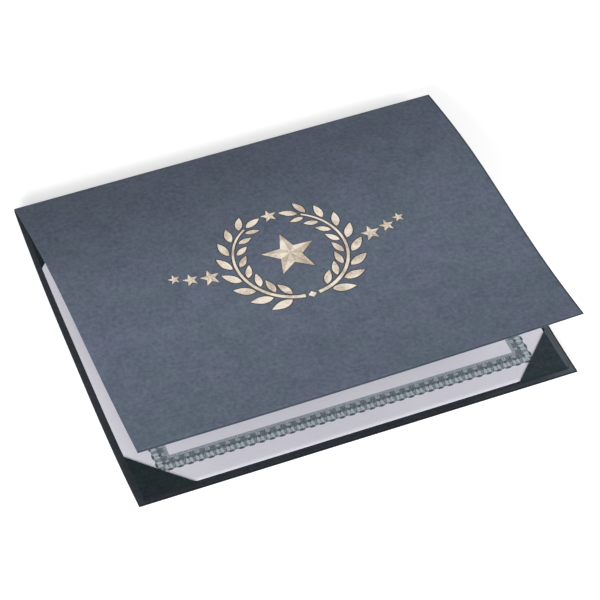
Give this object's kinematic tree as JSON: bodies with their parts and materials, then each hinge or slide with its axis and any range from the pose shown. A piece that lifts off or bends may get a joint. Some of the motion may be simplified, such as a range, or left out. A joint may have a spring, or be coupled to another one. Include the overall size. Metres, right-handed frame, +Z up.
{
  "type": "certificate cover",
  "caption": "Folded card cover that stands slightly open, with a pocket page whose folded corner pockets hold a landscape certificate.",
  "frame": {"origin": "under the middle of the cover, on the surface that it lies on", "axes": "+X along the fold, to the right seen from the open edge; +Y from the open front edge back to the fold; +Z up"},
  "size_m": [0.29, 0.2339, 0.0602],
  "materials": {
    "outer_card": "slate blue felt-finish cover card, matt",
    "inner_card": "near-black smooth lining card, matt",
    "certificate_paper": "uncoated white certificate paper"
  },
  "bodies": {
    "rear_cover": {"rear_cover_panel": "outer_card", "fold_strip": "outer_card", "pocket_page": "inner_card", "corner_pocket_front_left": "inner_card", "corner_pocket_front_right": "inner_card", "corner_pocket_back_left": "inner_card", "corner_pocket_back_right": "inner_card", "certificate_sheet": "certificate_paper"},
    "front_cover": {"front_cover_panel": "outer_card", "front_lining": "inner_card"}
  },
  "joints": [
    {"name": "cover_fold", "type": "hinge", "parent": "rear_cover", "child": "front_cover", "pos_m": [0, 0.11699, 0.00962], "axis": [-1, 0, 0], "range_deg": [-11.8, 168], "deforming": ["fold_strip"]}
  ]
}
